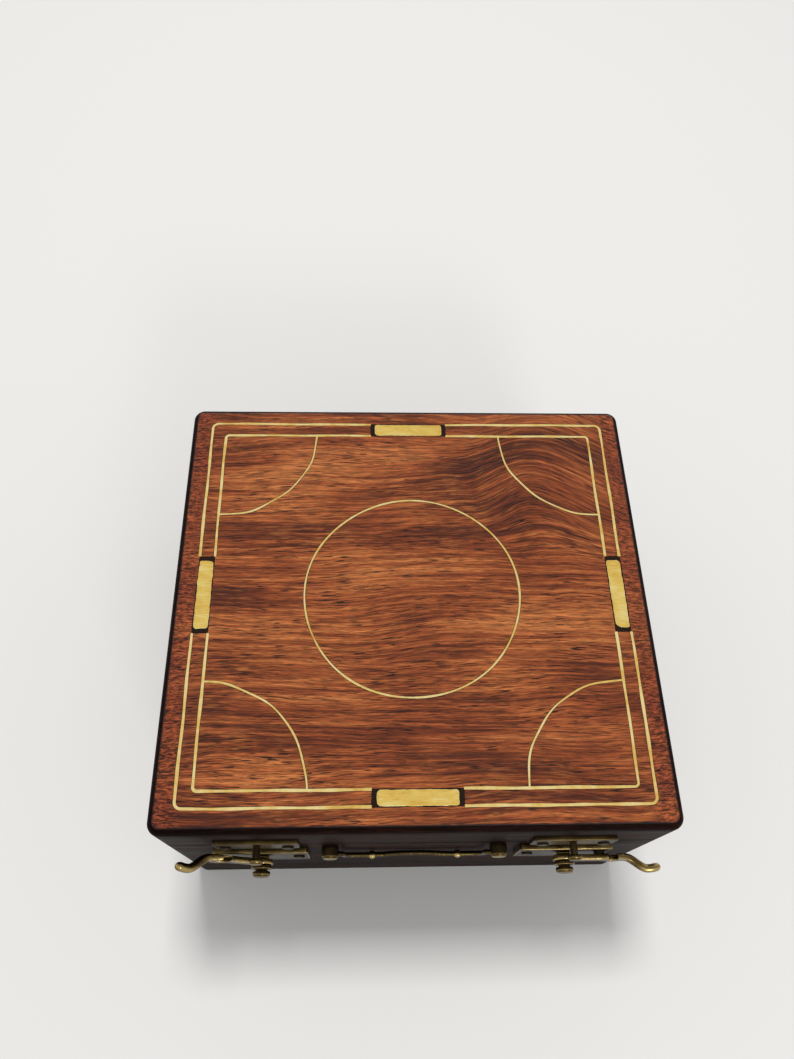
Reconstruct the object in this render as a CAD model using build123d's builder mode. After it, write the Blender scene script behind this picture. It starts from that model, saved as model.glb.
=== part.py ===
from build123d import *
from math import asin, cos, degrees, sin
import os

# A hinged hardwood case for a sextant, inlaid with brass on the lid, with two swing hooks and a drop
# handle on its front. X runs to the right, Y to the back and Z up. The origin is the centre of the
# underside, so the front face is at -box_depth / 2. All sizes are in millimetres.

# The case
box_width = 200.0
box_depth = 190.0
base_height = 86.0  # underside to seam
lid_height = 28.0  # seam to top
wall = 9.0
top_panel = 8.0
bottom_panel = 6.0
corner_round = 5.0  # upright outer corners
edge_round = 4.0  # round-over along the top
seam_bevel = 0.7
foot_bevel = 1.0

# Brass inlay in the lid
inlay_depth = 1.2
string_width = 1.2
string_inset_side = 9.9  # lid edge to centre of the outer string, left and right
string_inset_front = 9.1  # the same, front and back
string_pitch = 6.3  # outer string to inner string
outer_string_round = 3.0
inner_string_round = 2.0
fine_string_width = 0.9
corner_arc_radius = 42.0
ring_radius = 45.0
plate_length = 31.0
plate_width = 6.1
plate_round = 1.4
plate_side_gap = 0.3  # dark mastic between an inlaid plate and its recess, along the sides
plate_end_gap = 2.0  # the same at the ends
mastic_sink = 0.1  # lid face to the mastic

# Hook latches, each with a base plate on the case and a catch plate on the lid
latch_inset = 38.5  # side of the case to the middle of a latch
latch_plate_width = 38.0
latch_plate_height = 20.0
latch_plate_drop = 5.5  # seam to top edge of the base plate
catch_plate_width = 33.0
catch_plate_height = 12.0
catch_plate_rise = 1.0  # seam to bottom edge of the catch plate
latch_plate_thick = 2.6
catch_plate_thick = 1.6
latch_plate_round = 1.5
pivot_drop = 14.0  # seam to hook pivot
hook_reach = 20.0  # pivot to catch stud
hook_standoff = 3.6  # case face to back of hook
hook_thick = 2.4
hook_hub_radius = 4.6
hook_arm_radius = 2.9  # half width of the arm at the hub
hook_neck_radius = 1.6  # half width where the tail starts
hook_eye_radius = 5.0  # bulge around the notch
hook_length = 37.5  # pivot to centre of the rounded tip
hook_tip_radius = 2.0
tail_start = 26.5  # pivot to the bend of the tail
tail_run = 6.0  # length of the ramp
tail_rise = 4.2  # how far the tail stands out
tail_return = 1.0  # how far its tip comes back
tail_bend_radius = 3.0
left_hook_tilt = 43.0  # degrees that the left hook was left above level
stud_radius = 1.5
stud_head_radius = 2.8
stud_head_height = 1.9
collar_radius = 4.2
collar_height = 1.4
knob_radius = 3.5
knob_height = 2.4
knob_neck_radius = 2.4
knob_neck_height = 0.7
shoulder_radius = 2.9
stud_length_in_wood = 6.0
notch_clearance = 0.4
notch_sweep = 30.0  # degrees of arc that the notch is cut along
turn_clearance = 0.15  # hook to knob, shoulder and stud head

# Drop handle
handle_latch_gap = 8.8  # end of a latch plate to the middle of a handle post
handle_drop_from_seam = 6.0  # seam to handle axis
handle_axis_out = 3.0  # case face to handle axis
post_radius = 3.4
post_length = 5.2
shank_radius = 1.5
bail_wire_radius = 1.0
bail_drop = 13.0  # handle axis to centre of the grip
bail_bend_radius = 1.6
bail_corner_radius = 4.0
bead_radius = 1.6
bead_inset = 11.9  # leg of the bail to a bead
bail_face_gap = 0.3
washer_radius = 3.6
washer_thick = 0.6
nut_across_flats = 5.5
nut_height = 2.4

# Butt hinges let into the rims at the back
hinge_inset = 45.0  # side of the case to the middle of a hinge
hinge_length = 38.0
leaf_width = 7.6
leaf_thick = 1.6
knuckle_radius = 2.6
knuckle_count = 5
knuckle_gap = 0.15
knuckle_wall_gap = 0.3
hinge_pin_radius = 1.1
hinge_pin_tip = 0.8
leaf_gap = 0.1  # between the closed leaves
leaf_fit = 0.1  # leaf to the edge of its mortise
hinge_screw_pitch = 12.0

# Screws
screw_radius = 1.2
screw_length = 7.0
flat_head_radius = 2.2
flat_head_height = 1.0
dome_head_radius = 2.3
dome_head_height = 0.8
slot_width = 0.6
slot_depth = 0.4
slot_turn = 35.0  # degrees from level at which the domed screws stopped
hinge_screw_length = 9.0
latch_screw_pitch = 30.0
catch_screw_pitch = 24.0

# Fits
pin_fit = 0.05  # radial gap of a pin that turns
screw_fit = 0.05  # radial gap of a screw or shank in its hole

# Fittings inside, glued down, with felt
felt_thick = 1.5
felt_edge_gap = 0.4
block_length = 36.0
block_width = 26.0
block_height = 22.0
block_round = 2.0
side_block_gap = 17.0  # side wall to a side block
side_block_y = -24.0
rear_block_y = 56.0
socket_radius = 6.5
socket_depth = 12.0
keeper_length = 54.0
keeper_width = 26.0
keeper_height = 10.0
keeper_y = 12.0

# Places worked out from the sizes above
box_height = base_height + lid_height
lid_panel_z = box_height - top_panel
half_width = box_width / 2
half_depth = box_depth / 2
inner_width = box_width - 2 * wall
inner_depth = box_depth - 2 * wall
outer_string_x = half_width - string_inset_side
outer_string_y = half_depth - string_inset_front
inner_string_x = outer_string_x - string_pitch
inner_string_y = outer_string_y - string_pitch
latch_x = half_width - latch_inset
hinge_x = half_width - hinge_inset
handle_post_x = latch_x - latch_plate_width / 2 - handle_latch_gap
side_block_x = inner_width / 2 - side_block_gap - block_length / 2
band_x = (outer_string_x + inner_string_x) / 2
band_y = (outer_string_y + inner_string_y) / 2
pivot_z = base_height - pivot_drop
catch_z = pivot_z + hook_reach
latch_plate_z = base_height - latch_plate_drop - latch_plate_height / 2
catch_plate_z = base_height + catch_plate_rise + catch_plate_height / 2
hook_front = hook_standoff + hook_thick
handle_z = base_height - handle_drop_from_seam
hinge_y = half_depth + knuckle_radius + knuckle_wall_gap
knuckle_length = hinge_length / knuckle_count
leg_block_places = [
    (-side_block_x, side_block_y),
    (side_block_x, side_block_y),
    (0, rear_block_y),
]
leg_block_names = ["left_leg_block", "right_leg_block", "rear_leg_block"]

# Local x and y of this plane are across and up on the front face, and its normal points forwards
front_face = Plane(origin=(0, -half_depth, 0), x_dir=(1, 0, 0), z_dir=(0, -1, 0))

os.makedirs("parts", exist_ok=True)


def save(piece, name):
    piece.part.label = name
    export_step(piece.part, f"parts/{name}.step")


def save_pair(piece, name):
    """Writes a right-hand piece and its mirror image on the left."""
    save(piece, f"right_{name}")
    with BuildPart() as twin:
        mirror(piece.part, about=Plane.YZ)
    save(twin, f"left_{name}")


# ---- Wooden shell ----


def mitred_plan(side):
    """Plan of one wall, cut at 45 degrees through the corners it shares."""
    x, y = half_width, half_depth
    outer = {"front": [(-x, -y), (x, -y)], "rear": [(x, y), (-x, y)]}
    outer |= {"right": [(x, -y), (x, y)], "left": [(-x, y), (-x, -y)]}
    start, end = outer[side]
    inner = [
        (px - wall * (1 if px > 0 else -1), py - wall * (1 if py > 0 else -1))
        for px, py in (end, start)
    ]
    RectangleRounded(box_width, box_depth, corner_round)
    Rectangle(inner_width, inner_depth, mode=Mode.SUBTRACT)
    Polygon(start, end, *inner, align=None, mode=Mode.INTERSECT)


def outside_edges(edges):
    """The edges of a rim that lie on the outside of the case."""
    margin = wall / 2
    return [
        e
        for e in edges
        if abs((e @ 0.5).X) > half_width - margin / 2 or abs((e @ 0.5).Y) > half_depth - margin / 2
    ]


def bevel_rim(piece, rim):
    """Breaks the outer edge of a wall along the seam."""
    rim_edges = outside_edges(piece.edges().filter_by(Plane.XY).group_by(Axis.Z)[rim])
    chamfer([e for e in rim_edges if not is_mitre(e)], seam_bevel)


def is_mitre(edge):
    """True for an edge that runs at 45 degrees through a corner."""
    d = edge % 0.5
    return edge.geom_type == GeomType.LINE and abs(abs(d.X) - abs(d.Y)) < 0.1


# Pockets that the hardware needs in the front and rear walls


def front_holes(points, radius, depth):
    with BuildSketch(front_face) as holes:
        with Locations(*points):
            Circle(radius)
    extrude(holes.sketch, amount=-depth, mode=Mode.SUBTRACT)


def pair_points(x, z, pitch=0.0):
    """Points on the front face at both sides, or pairs of them a pitch apart."""
    offsets = [-pitch / 2, pitch / 2] if pitch else [0.0]
    return [(side * x + offset, z) for side in (-1, 1) for offset in offsets]


def hinge_screw_places():
    y = half_depth - leaf_width / 2
    return [(side * hinge_x + i * hinge_screw_pitch, y) for side in (-1, 1) for i in (-1, 0, 1)]


def hinge_mortises(direction):
    """Cuts both hinge leaves and their screws into a rim, down for the base and up for the lid."""
    depth = leaf_thick + leaf_gap / 2
    with BuildSketch(Plane.XY.offset(base_height)) as pockets:
        with Locations((-hinge_x, half_depth - leaf_width / 2), (hinge_x, half_depth - leaf_width / 2)):
            Rectangle(hinge_length + 2 * leaf_fit, leaf_width + 2 * leaf_fit)
    extrude(pockets.sketch, amount=direction * depth, mode=Mode.SUBTRACT)
    with BuildSketch(Plane.XY.offset(base_height)) as pilots:
        with Locations(*hinge_screw_places()):
            Circle(screw_radius + screw_fit)
    pilot_depth = leaf_gap / 2 + hinge_screw_length + screw_fit
    extrude(pilots.sketch, amount=direction * pilot_depth, mode=Mode.SUBTRACT)


def base_wall(side):
    with BuildPart() as piece:
        with BuildSketch(Plane.XY.offset(bottom_panel)):
            mitred_plan(side)
        extrude(amount=base_height - bottom_panel)
        bevel_rim(piece, -1)
        if side == "front":
            front_holes(pair_points(handle_post_x, handle_z), shank_radius + screw_fit, wall)
            front_holes(pair_points(latch_x, pivot_z), stud_radius + screw_fit, stud_length_in_wood)
            screws = pair_points(latch_x, pivot_z, latch_screw_pitch)
            front_holes(screws, screw_radius + screw_fit, screw_length)
        if side == "rear":
            hinge_mortises(-1)
    save(piece, f"base_{side}_wall")


def lid_wall(side):
    with BuildPart() as piece:
        with BuildSketch(Plane.XY.offset(base_height)):
            mitred_plan(side)
        extrude(amount=lid_panel_z - base_height)
        bevel_rim(piece, 0)
        if side == "front":
            front_holes(pair_points(latch_x, catch_z), stud_radius + screw_fit, stud_length_in_wood)
            screws = pair_points(latch_x, catch_z, catch_screw_pitch)
            front_holes(screws, screw_radius + screw_fit, screw_length)
        if side == "rear":
            hinge_mortises(1)
    save(piece, f"lid_{side}_wall")


for wall_side in ("front", "rear", "left", "right"):
    base_wall(wall_side)
    lid_wall(wall_side)

with BuildPart() as bottom_board:
    with BuildSketch(Plane.XY):
        RectangleRounded(box_width, box_depth, corner_round)
    extrude(amount=bottom_panel)
    chamfer(bottom_board.edges().group_by(Axis.Z)[0], foot_bevel)
save(bottom_board, "bottom_board")


# ---- Lid board and its brass inlay ----


def string_frame(x, y, round_radius):
    """A rectangle of string, broken at the middle of each side by a plate."""
    RectangleRounded(2 * x + string_width, 2 * y + string_width, round_radius + string_width / 2)
    RectangleRounded(
        2 * x - string_width, 2 * y - string_width, round_radius - string_width / 2, mode=Mode.SUBTRACT
    )
    broken = plate_length + 2 * plate_end_gap
    Rectangle(broken, box_depth, mode=Mode.SUBTRACT)
    Rectangle(box_width, broken, mode=Mode.SUBTRACT)


def corner_arcs():
    """Quarter circles about the corners of the inner string, ending on it."""
    with GridLocations(2 * inner_string_x, 2 * inner_string_y, 2, 2):
        Circle(corner_arc_radius + fine_string_width / 2)
    with GridLocations(2 * inner_string_x, 2 * inner_string_y, 2, 2):
        Circle(corner_arc_radius - fine_string_width / 2, mode=Mode.SUBTRACT)
    inside = (2 * inner_string_x - string_width, 2 * inner_string_y - string_width)
    Rectangle(*inside, mode=Mode.INTERSECT)


def ring():
    Circle(ring_radius + fine_string_width / 2)
    Circle(ring_radius - fine_string_width / 2, mode=Mode.SUBTRACT)


def plate_outline():
    RectangleRounded(plate_length, plate_width, plate_round)


def recess_outline():
    recess_width = plate_width + 2 * plate_side_gap
    RectangleRounded(plate_length + 2 * plate_end_gap, recess_width, plate_round + plate_side_gap)


inlay_strings = {
    "outer_string": lambda: string_frame(outer_string_x, outer_string_y, outer_string_round),
    "inner_string": lambda: string_frame(inner_string_x, inner_string_y, inner_string_round),
    "corner_arc_strings": corner_arcs,
    "ring_string": ring,
}
inlay_plates = {
    "front_inlay_plate": Location((0, -band_y, 0)),
    "rear_inlay_plate": Location((0, band_y, 0)),
    "left_inlay_plate": Location((-band_x, 0, 0), (0, 0, 90)),
    "right_inlay_plate": Location((band_x, 0, 0), (0, 0, 90)),
}

with BuildPart() as lid_board:
    with BuildSketch(Plane.XY.offset(lid_panel_z)):
        RectangleRounded(box_width, box_depth, corner_round)
    extrude(amount=top_panel)
    fillet(lid_board.edges().group_by(Axis.Z)[-1], edge_round)
    for string_shape in inlay_strings.values():
        with BuildSketch(Plane.XY.offset(box_height)):
            string_shape()
        extrude(amount=-inlay_depth, mode=Mode.SUBTRACT)
    with BuildSketch(Plane.XY.offset(box_height)):
        with Locations(*inlay_plates.values()):
            recess_outline()
    extrude(amount=-inlay_depth, mode=Mode.SUBTRACT)
save(lid_board, "lid_board")

for string_name, string_shape in inlay_strings.items():
    with BuildPart() as string:
        with BuildSketch(Plane.XY.offset(box_height)):
            string_shape()
        extrude(amount=-inlay_depth)
    save(string, string_name)

for plate_name, plate_place in inlay_plates.items():
    with BuildPart() as inlay_plate:
        with BuildSketch(Plane.XY.offset(box_height)):
            with Locations(plate_place):
                plate_outline()
        extrude(amount=-inlay_depth)
    save(inlay_plate, plate_name)

with BuildPart() as inlay_mastic:
    with BuildSketch(Plane.XY.offset(box_height - inlay_depth)):
        with Locations(*inlay_plates.values()):
            recess_outline()
        with Locations(*inlay_plates.values()):
            RectangleRounded(plate_length, plate_width, plate_round, mode=Mode.SUBTRACT)
    extrude(amount=inlay_depth - mastic_sink)
save(inlay_mastic, "inlay_mastic")


# ---- Fittings inside the case ----

with BuildPart() as floor_felt:
    with BuildSketch(Plane.XY.offset(bottom_panel)):
        Rectangle(inner_width - 2 * felt_edge_gap, inner_depth - 2 * felt_edge_gap)
        with Locations(*leg_block_places):
            Rectangle(block_length + 2 * felt_edge_gap, block_width + 2 * felt_edge_gap, mode=Mode.SUBTRACT)
    extrude(amount=felt_thick)
save(floor_felt, "floor_felt")

for block_name, block_place in zip(leg_block_names, leg_block_places):
    with BuildPart() as leg_block:
        with BuildSketch(Plane.XY.offset(bottom_panel)):
            with Locations(block_place):
                Rectangle(block_length, block_width)
        extrude(amount=block_height)
        chamfer(leg_block.edges().group_by(Axis.Z)[-1], block_round)
        with BuildSketch(Plane.XY.offset(bottom_panel + block_height)):
            with Locations(block_place):
                Circle(socket_radius)
        extrude(amount=-socket_depth, mode=Mode.SUBTRACT)
    save(leg_block, block_name)

with BuildPart() as socket_felts:
    with BuildSketch(Plane.XY.offset(bottom_panel + block_height - socket_depth)):
        with Locations(*leg_block_places):
            Circle(socket_radius - felt_edge_gap)
    extrude(amount=felt_thick)
save(socket_felts, "socket_felts")

with BuildPart() as lid_felt:
    with BuildSketch(Plane.XY.offset(lid_panel_z)):
        Rectangle(inner_width - 2 * felt_edge_gap, inner_depth - 2 * felt_edge_gap)
        with Locations((0, keeper_y)):
            Rectangle(keeper_length + 2 * felt_edge_gap, keeper_width + 2 * felt_edge_gap, mode=Mode.SUBTRACT)
    extrude(amount=-felt_thick)
save(lid_felt, "lid_felt")

with BuildPart() as lid_keeper:
    with BuildSketch(Plane.XY.offset(lid_panel_z)):
        with Locations((0, keeper_y)):
            Rectangle(keeper_length, keeper_width)
    extrude(amount=-keeper_height)
    chamfer(lid_keeper.edges().group_by(Axis.Z)[0], block_round)
save(lid_keeper, "lid_keeper")

with BuildPart() as keeper_felt:
    with BuildSketch(Plane.XY.offset(lid_panel_z - keeper_height)):
        with Locations((0, keeper_y)):
            Rectangle(keeper_length - 2 * block_round, keeper_width - 2 * block_round)
    extrude(amount=-felt_thick)
save(keeper_felt, "keeper_felt")


# ---- Hook latches ----


def plate(width, height, thick, centre_z, screw_pitch, stud_z, name):
    """A brass plate with a hole for its stud and two for its screws."""
    with BuildPart() as piece:
        with BuildSketch(front_face):
            with Locations((latch_x, centre_z)):
                RectangleRounded(width, height, latch_plate_round)
            with Locations((latch_x, stud_z)):
                Circle(stud_radius + screw_fit, mode=Mode.SUBTRACT)
            with Locations((latch_x - screw_pitch / 2, stud_z), (latch_x + screw_pitch / 2, stud_z)):
                Circle(screw_radius + screw_fit, mode=Mode.SUBTRACT)
        extrude(amount=thick)
    save_pair(piece, name)


def turned_stud(z, stages, round_radius, name):
    """A stud turned from bar: each stage is where it starts and ends, and its radius."""
    with BuildPart() as piece:
        for start, end, radius in stages:
            with BuildSketch(front_face.offset(start)):
                with Locations((latch_x, z)):
                    Circle(radius)
            extrude(amount=end - start)
        rim = piece.edges().filter_by(GeomType.CIRCLE).sort_by(Axis.Y)[0]
        fillet(rim, round_radius)
    save_pair(piece, name)


def dome_screws(points, thick, name):
    """Slotted screws whose domed heads sit on a plate of that thickness."""
    with BuildPart(front_face.offset(thick)) as piece:
        with Locations(*points):
            Cylinder(dome_head_radius, dome_head_height, align=(Align.CENTER, Align.CENTER, Align.MIN))
        fillet(piece.faces().sort_by(Axis.Y)[: len(points)].edges(), dome_head_height / 2)
        with Locations(*points):
            Cylinder(screw_radius, thick + screw_length, align=(Align.CENTER, Align.CENTER, Align.MAX))
        with Locations(*[(x, z, dome_head_height) for x, z in points]):
            Box(
                2 * dome_head_radius,
                slot_width,
                2 * slot_depth,
                rotation=(0, 0, slot_turn),
                mode=Mode.SUBTRACT,
            )
    save(piece, name)


latch_plate_size = (latch_plate_width, latch_plate_height, latch_plate_thick)
catch_plate_size = (catch_plate_width, catch_plate_height, catch_plate_thick)
plate(*latch_plate_size, latch_plate_z, latch_screw_pitch, pivot_z, "latch_plate")
plate(*catch_plate_size, catch_plate_z, catch_screw_pitch, catch_z, "catch_plate")

collar_start = hook_front + turn_clearance
neck_start = collar_start + collar_height
knob_start = neck_start + knob_neck_height
turned_stud(
    pivot_z,
    [
        (-stud_length_in_wood, collar_start, stud_radius),
        (latch_plate_thick, hook_standoff - turn_clearance, shoulder_radius),
        (collar_start, neck_start, collar_radius),
        (neck_start, knob_start, knob_neck_radius),
        (knob_start, knob_start + knob_height, knob_radius),
    ],
    knob_height / 2,
    "hook_pivot",
)
head_start = hook_front + 2 * turn_clearance
turned_stud(
    catch_z,
    [
        (-stud_length_in_wood, head_start, stud_radius),
        (head_start, head_start + stud_head_height, stud_head_radius),
    ],
    stud_head_height / 2,
    "catch_stud",
)
latch_screw_points = pair_points(latch_x, pivot_z, latch_screw_pitch)
catch_screw_points = pair_points(latch_x, catch_z, catch_screw_pitch)
dome_screws(latch_screw_points, latch_plate_thick, "latch_plate_screws")
dome_screws(catch_screw_points, catch_plate_thick, "catch_plate_screws")


def hook_outline():
    """The hook laid flat, pivot at the origin, lying to the right with its notch open upwards."""
    Circle(hook_hub_radius)
    with Locations((hook_reach, 0)):
        Circle(hook_eye_radius)
    with Locations((hook_length, 0)):
        Circle(hook_tip_radius)
    half_widths = [
        (0, hook_arm_radius),
        (hook_reach, hook_arm_radius),
        (tail_start + tail_run / 2, hook_neck_radius),
        (hook_length, hook_tip_radius),
    ]
    Polygon(
        *[(x, -v) for x, v in half_widths],
        *[(x, v) for x, v in reversed(half_widths)],
        align=None,
    )
    Circle(stud_radius + pin_fit, mode=Mode.SUBTRACT)
    notch_radius = stud_radius + notch_clearance
    with Locations((hook_reach, 0)):
        Circle(notch_radius, mode=Mode.SUBTRACT)
    with BuildLine() as notch:
        near = CenterArc((0, 0), hook_reach - notch_radius, 0, notch_sweep)
        far = CenterArc((0, 0), hook_reach + notch_radius, 0, notch_sweep)
        Line(near @ 0, far @ 0)
        Line(near @ 1, far @ 1)
    make_face(notch.edges(), mode=Mode.SUBTRACT)


def hook_side(start_x):
    """The hook seen along its width: flat over the plate, then out in an S to the tip."""
    middle = -(hook_standoff + hook_thick / 2)
    with BuildLine() as bend:
        FilletPolyline(
            (start_x, middle),
            (tail_start, middle),
            (tail_start + tail_run, middle - tail_rise),
            (hook_length + 2 * hook_tip_radius, middle - tail_rise + tail_return),
            radius=tail_bend_radius,
        )
    trace(bend.line, line_width=hook_thick)


pivot_place = (latch_x, -half_depth, pivot_z)
with BuildPart() as hook:
    with BuildSketch(front_face * Location((latch_x, pivot_z, 0))):
        hook_outline()
    extrude(amount=hook_front + 2 * tail_rise)
    with BuildSketch(Plane(origin=pivot_place, x_dir=(1, 0, 0), z_dir=(0, 0, 1))):
        hook_side(-2 * hook_hub_radius)
    extrude(amount=2 * hook_eye_radius, both=True, mode=Mode.INTERSECT)
save(hook, "right_hook")

with BuildPart() as left_hook:
    mirror(hook.part, about=Plane.YZ)
    tilted = Axis((-latch_x, -half_depth, pivot_z), (0, 1, 0))
    add(left_hook.part.rotate(tilted, left_hook_tilt), mode=Mode.REPLACE)
save(left_hook, "left_hook")


# ---- Drop handle ----

with BuildPart() as handle_post:
    with BuildSketch(front_face):
        with Locations((handle_post_x, handle_z)):
            Circle(post_radius)
    extrude(amount=post_length)
    fillet(handle_post.faces().sort_by(Axis.Y)[0].edges(), post_radius / 3)
    with BuildSketch(front_face):
        with Locations((handle_post_x, handle_z)):
            Circle(shank_radius)
    extrude(amount=-(wall + washer_thick + nut_height + shank_radius))
    with BuildSketch(Plane.YZ.offset(handle_post_x)):
        with Locations((-half_depth - handle_axis_out, handle_z)):
            Circle(bail_wire_radius + pin_fit)
    extrude(amount=post_radius, both=True, mode=Mode.SUBTRACT)
save_pair(handle_post, "handle_post")

inside_front = Plane(origin=(0, -half_depth + wall, 0), x_dir=(-1, 0, 0), z_dir=(0, 1, 0))
with BuildPart() as handle_washers:
    with BuildSketch(inside_front):
        with Locations(*pair_points(handle_post_x, handle_z)):
            Circle(washer_radius)
            Circle(shank_radius + screw_fit, mode=Mode.SUBTRACT)
    extrude(amount=washer_thick)
save(handle_washers, "handle_washers")

with BuildPart() as handle_nuts:
    with BuildSketch(inside_front.offset(washer_thick)):
        with Locations(*pair_points(handle_post_x, handle_z)):
            RegularPolygon(nut_across_flats / 2, 6, major_radius=False)
            Circle(shank_radius + screw_fit, mode=Mode.SUBTRACT)
    extrude(amount=nut_height)
save(handle_nuts, "handle_nuts")

# The handle hangs at a slight slope, its beads just clear of the case
hang_angle = asin((handle_axis_out - bead_radius - bail_face_gap) / bail_drop)
bail_plane = Plane(
    origin=(0, -half_depth - handle_axis_out, handle_z),
    x_dir=(1, 0, 0),
    z_dir=(0, cos(hang_angle), sin(hang_angle)),
)
leg_x = handle_post_x - post_radius - bail_bend_radius
bead_x = leg_x - bead_inset
pin_end_x = handle_post_x + post_radius
with BuildPart() as handle_bail:
    with BuildLine(bail_plane):
        FilletPolyline(
            (pin_end_x, 0),
            (leg_x, 0),
            (leg_x, bail_drop),
            (-leg_x, bail_drop),
            (-leg_x, 0),
            (-pin_end_x, 0),
            radius=[bail_bend_radius, bail_corner_radius, bail_corner_radius, bail_bend_radius],
        )
    with BuildSketch(Plane(origin=bail_plane.from_local_coords((pin_end_x, 0, 0)), z_dir=(-1, 0, 0))):
        Circle(bail_wire_radius)
    sweep()
    with Locations(bail_plane):
        with Locations((bead_x, bail_drop), (-bead_x, bail_drop)):
            Sphere(bead_radius, rotation=(0, 90, 0))
save(handle_bail, "handle_bail")
print("handle hangs at", round(degrees(hang_angle), 3), "degrees")


# ---- Hinges ----


def leaf(direction, own_knuckles):
    """One leaf: direction is -1 for the base leaf and 1 for the lid leaf."""
    near = base_height + direction * leaf_gap / 2
    start_x = hinge_x - hinge_length / 2
    with BuildPart() as piece:
        with BuildSketch(Plane.XY.offset(near)):
            with Locations((hinge_x, half_depth - leaf_width / 2)):
                Rectangle(hinge_length, leaf_width)
        extrude(amount=direction * leaf_thick)
        for k in own_knuckles:
            middle = start_x + (k + 0.5) * knuckle_length
            length = knuckle_length - knuckle_gap
            with BuildSketch(Plane.XY.offset(near)):
                with Locations((middle, (half_depth + hinge_y) / 2)):
                    Rectangle(length, hinge_y - half_depth)
            extrude(amount=direction * leaf_thick)
            with BuildSketch(Plane.YZ.offset(middle)):
                with Locations((hinge_y, base_height)):
                    Circle(knuckle_radius)
            extrude(amount=length / 2, both=True)
        with BuildSketch(Plane.YZ.offset(hinge_x)):
            with Locations((hinge_y, base_height)):
                Circle(hinge_pin_radius + pin_fit)
        extrude(amount=hinge_length, both=True, mode=Mode.SUBTRACT)
        holes = [(x, y) for x, y in hinge_screw_places() if x > 0]
        with Locations(*[flat_screw_place(x, y, direction) for x, y in holes]):
            CounterSinkHole(screw_radius + screw_fit, flat_head_radius + screw_fit, counter_sink_angle=90)
    return piece


def flat_screw_place(x, y, direction):
    """Where a hinge screw's head lies: its plane faces out of the rim."""
    return Plane(
        origin=(x, y, base_height + direction * leaf_gap / 2),
        x_dir=(1, 0, 0),
        z_dir=(0, 0, -direction),
    )


def flat_screws(direction, name):
    """Countersunk screws of both leaves on one rim."""
    with BuildPart() as piece:
        for x, y in hinge_screw_places():
            with Locations(flat_screw_place(x, y, direction)):
                Cone(
                    screw_radius,
                    flat_head_radius,
                    flat_head_height,
                    align=(Align.CENTER, Align.CENTER, Align.MAX),
                )
                Cylinder(screw_radius, hinge_screw_length, align=(Align.CENTER, Align.CENTER, Align.MAX))
                Box(2 * flat_head_radius, slot_width, 2 * slot_depth, mode=Mode.SUBTRACT)
    save(piece, name)


save_pair(leaf(-1, range(0, knuckle_count, 2)), "hinge_base_leaf")
save_pair(leaf(1, range(1, knuckle_count, 2)), "hinge_lid_leaf")
flat_screws(-1, "hinge_base_screws")
flat_screws(1, "hinge_lid_screws")

with BuildPart() as hinge_pin:
    with BuildSketch(Plane.YZ.offset(hinge_x)):
        with Locations((hinge_y, base_height)):
            Circle(hinge_pin_radius)
    extrude(amount=hinge_length / 2 + hinge_pin_tip, both=True)
    fillet(hinge_pin.edges().filter_by(GeomType.CIRCLE), hinge_pin_radius / 2)
save_pair(hinge_pin, "hinge_pin")
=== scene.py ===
import bpy
import math
import numpy as np
from mathutils import Matrix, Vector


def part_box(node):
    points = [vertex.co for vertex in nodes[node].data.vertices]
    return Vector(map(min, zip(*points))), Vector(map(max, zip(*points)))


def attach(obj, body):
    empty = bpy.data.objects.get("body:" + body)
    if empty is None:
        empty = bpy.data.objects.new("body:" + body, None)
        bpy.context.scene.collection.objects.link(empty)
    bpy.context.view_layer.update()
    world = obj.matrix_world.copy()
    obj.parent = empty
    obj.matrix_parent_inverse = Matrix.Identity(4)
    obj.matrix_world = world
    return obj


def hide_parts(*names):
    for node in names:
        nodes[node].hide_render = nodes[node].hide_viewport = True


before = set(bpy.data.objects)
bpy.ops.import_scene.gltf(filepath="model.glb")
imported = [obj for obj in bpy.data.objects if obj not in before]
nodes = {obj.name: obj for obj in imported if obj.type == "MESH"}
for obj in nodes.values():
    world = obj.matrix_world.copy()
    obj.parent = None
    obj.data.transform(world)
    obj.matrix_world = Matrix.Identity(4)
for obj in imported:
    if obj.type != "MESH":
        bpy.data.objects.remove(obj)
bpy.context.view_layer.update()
mm = 0.001
quarter = math.pi / 2
scene = bpy.context.scene
scene.view_settings.view_transform = "Standard"
print("frame loaded,", len(nodes), "nodes")


def boxOf(node):
    # lowest and highest corner of a CAD node, in millimetres
    low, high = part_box(node)
    return np.array(low) / mm, np.array(high) / mm


lidLow, lidHigh = boxOf("lid_board")
halfWidth, halfDepth, top = lidHigh
frontFace = -halfDepth


# Colours and nodes

def linear(colour):
    # sRGB hex to linear light: below 0.04045 a straight line, above it a power of 2.4
    parts = [int(colour[k:k + 2], 16) / 255 for k in (1, 3, 5)]
    return [c / 12.92 if c <= 0.04045 else ((c + 0.055) / 1.055) ** 2.4 for c in parts] + [1.0]


def addNode(tree, kind, inputs=(), ramp=None, **settings):
    # Adds a node, sets its own settings, then fills or links its sockets: those named, or those in use in
    # their order. A node given for a socket stands for the first of its outputs that is in use.
    node = tree.nodes.new("ShaderNode" + kind)
    for key, value in settings.items():
        setattr(node, key, value)
    if isinstance(inputs, dict):
        filled = [(node.inputs[key], value) for key, value in inputs.items()]
    else:
        filled = list(zip([socket for socket in node.inputs if socket.enabled], inputs))
    for socket, value in filled:
        if isinstance(value, bpy.types.Node):
            value = next(output for output in value.outputs if output.enabled)
        if isinstance(value, bpy.types.NodeSocket):
            tree.links.new(value, socket)
        else:
            socket.default_value = value
    if ramp:
        stops = node.color_ramp.elements
        stops[0].position, stops[1].position = ramp[0][0], ramp[-1][0]
        for place, colour in ramp[1:-1]:
            stops.new(place)
        for stop, (place, colour) in zip(stops, ramp):
            stop.color = linear(colour)
    return node


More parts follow.
